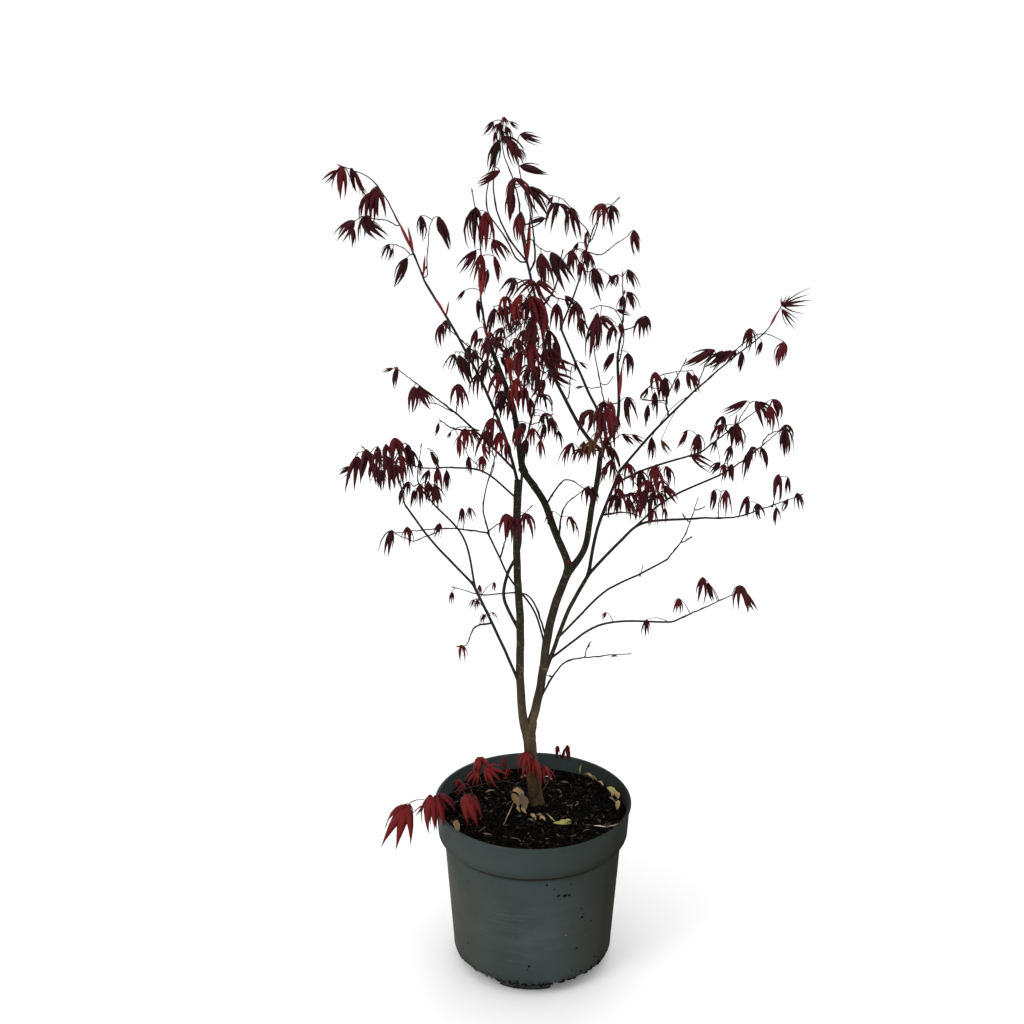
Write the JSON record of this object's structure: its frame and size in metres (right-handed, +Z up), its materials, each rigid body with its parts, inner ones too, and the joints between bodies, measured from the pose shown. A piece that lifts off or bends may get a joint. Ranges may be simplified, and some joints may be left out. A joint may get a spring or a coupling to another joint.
{
  "type": "potted japanese maple",
  "caption": "Young red-leaved Japanese maple on a low-forked trunk, in a round plastic nursery pot filled with bark compost.",
  "frame": {"origin": "centre of the pot's flat underside, on the pot's axis, at the level of the surface that it stands on", "axes": "+Z up along the pot's axis; -Y is the plant's front, +X its right seen from the front"},
  "size_m": [0.7062, 0.4434, 1.1801],
  "materials": {
    "pot": "satin",
    "compost": "matte",
    "bark": "matte",
    "young_bark": "satin",
    "foliage": "matte",
    "red_foliage": "matte"
  },
  "bodies": {
    "root": {"pot": "pot", "compost": "compost", "trunk": "bark", "left_stem": "bark", "right_stem": "bark", "loop_branch": "young_bark", "cross_limb": "bark", "left_leader": "bark", "right_leader": "bark", "inner_bough": "young_bark", "top_leader": "young_bark", "right_inner_bough": "young_bark", "back_inner_bough": "young_bark", "outer_stem": "bark", "upright_stem": "young_bark", "upper_right_bough": "young_bark", "upper_mid_right_bough": "young_bark", "right_bough": "young_bark", "mid_right_bough": "young_bark", "low_right_back_bough": "young_bark", "low_right_front_bough": "young_bark", "low_left_bough": "young_bark", "left_outer_bough": "young_bark", "left_inner_bough": "young_bark", "crossing_twig": "young_bark", "level_left_twig": "young_bark", "far_left_bough": "young_bark", "left_mid_bough": "young_bark", "left_outer_foliage": "foliage", "left_inner_foliage": "foliage", "level_left_foliage": "foliage", "crossing_left_foliage": "foliage", "crossing_top_foliage": "foliage", "stem_front_foliage": "foliage", "left_mid_foliage": "foliage", "left_near_foliage": "foliage", "far_left_foliage": "foliage", "top_foliage": "foliage", "top_centre_foliage": "foliage", "top_left_foliage": "foliage", "leader_left_foliage": "foliage", "leader_back_foliage": "foliage", "top_right_foliage": "foliage", "middle_front_foliage": "red_foliage", "middle_back_foliage": "foliage", "right_inner_foliage": "foliage", "right_leader_foliage": "foliage", "upright_front_foliage": "foliage", "right_near_foliage": "foliage", "upper_right_foliage": "foliage", "upper_mid_right_foliage": "foliage", "mid_right_foliage": "foliage", "right_foliage": "foliage", "low_right_foliage": "foliage", "bare_back_twigs": "young_bark", "bare_low_twigs": "young_bark", "low_left_sprig": "foliage", "pot_left_shoot": "red_foliage", "pot_front_shoot": "red_foliage", "pot_back_shoot": "foliage"}
  },
  "joints": []
}
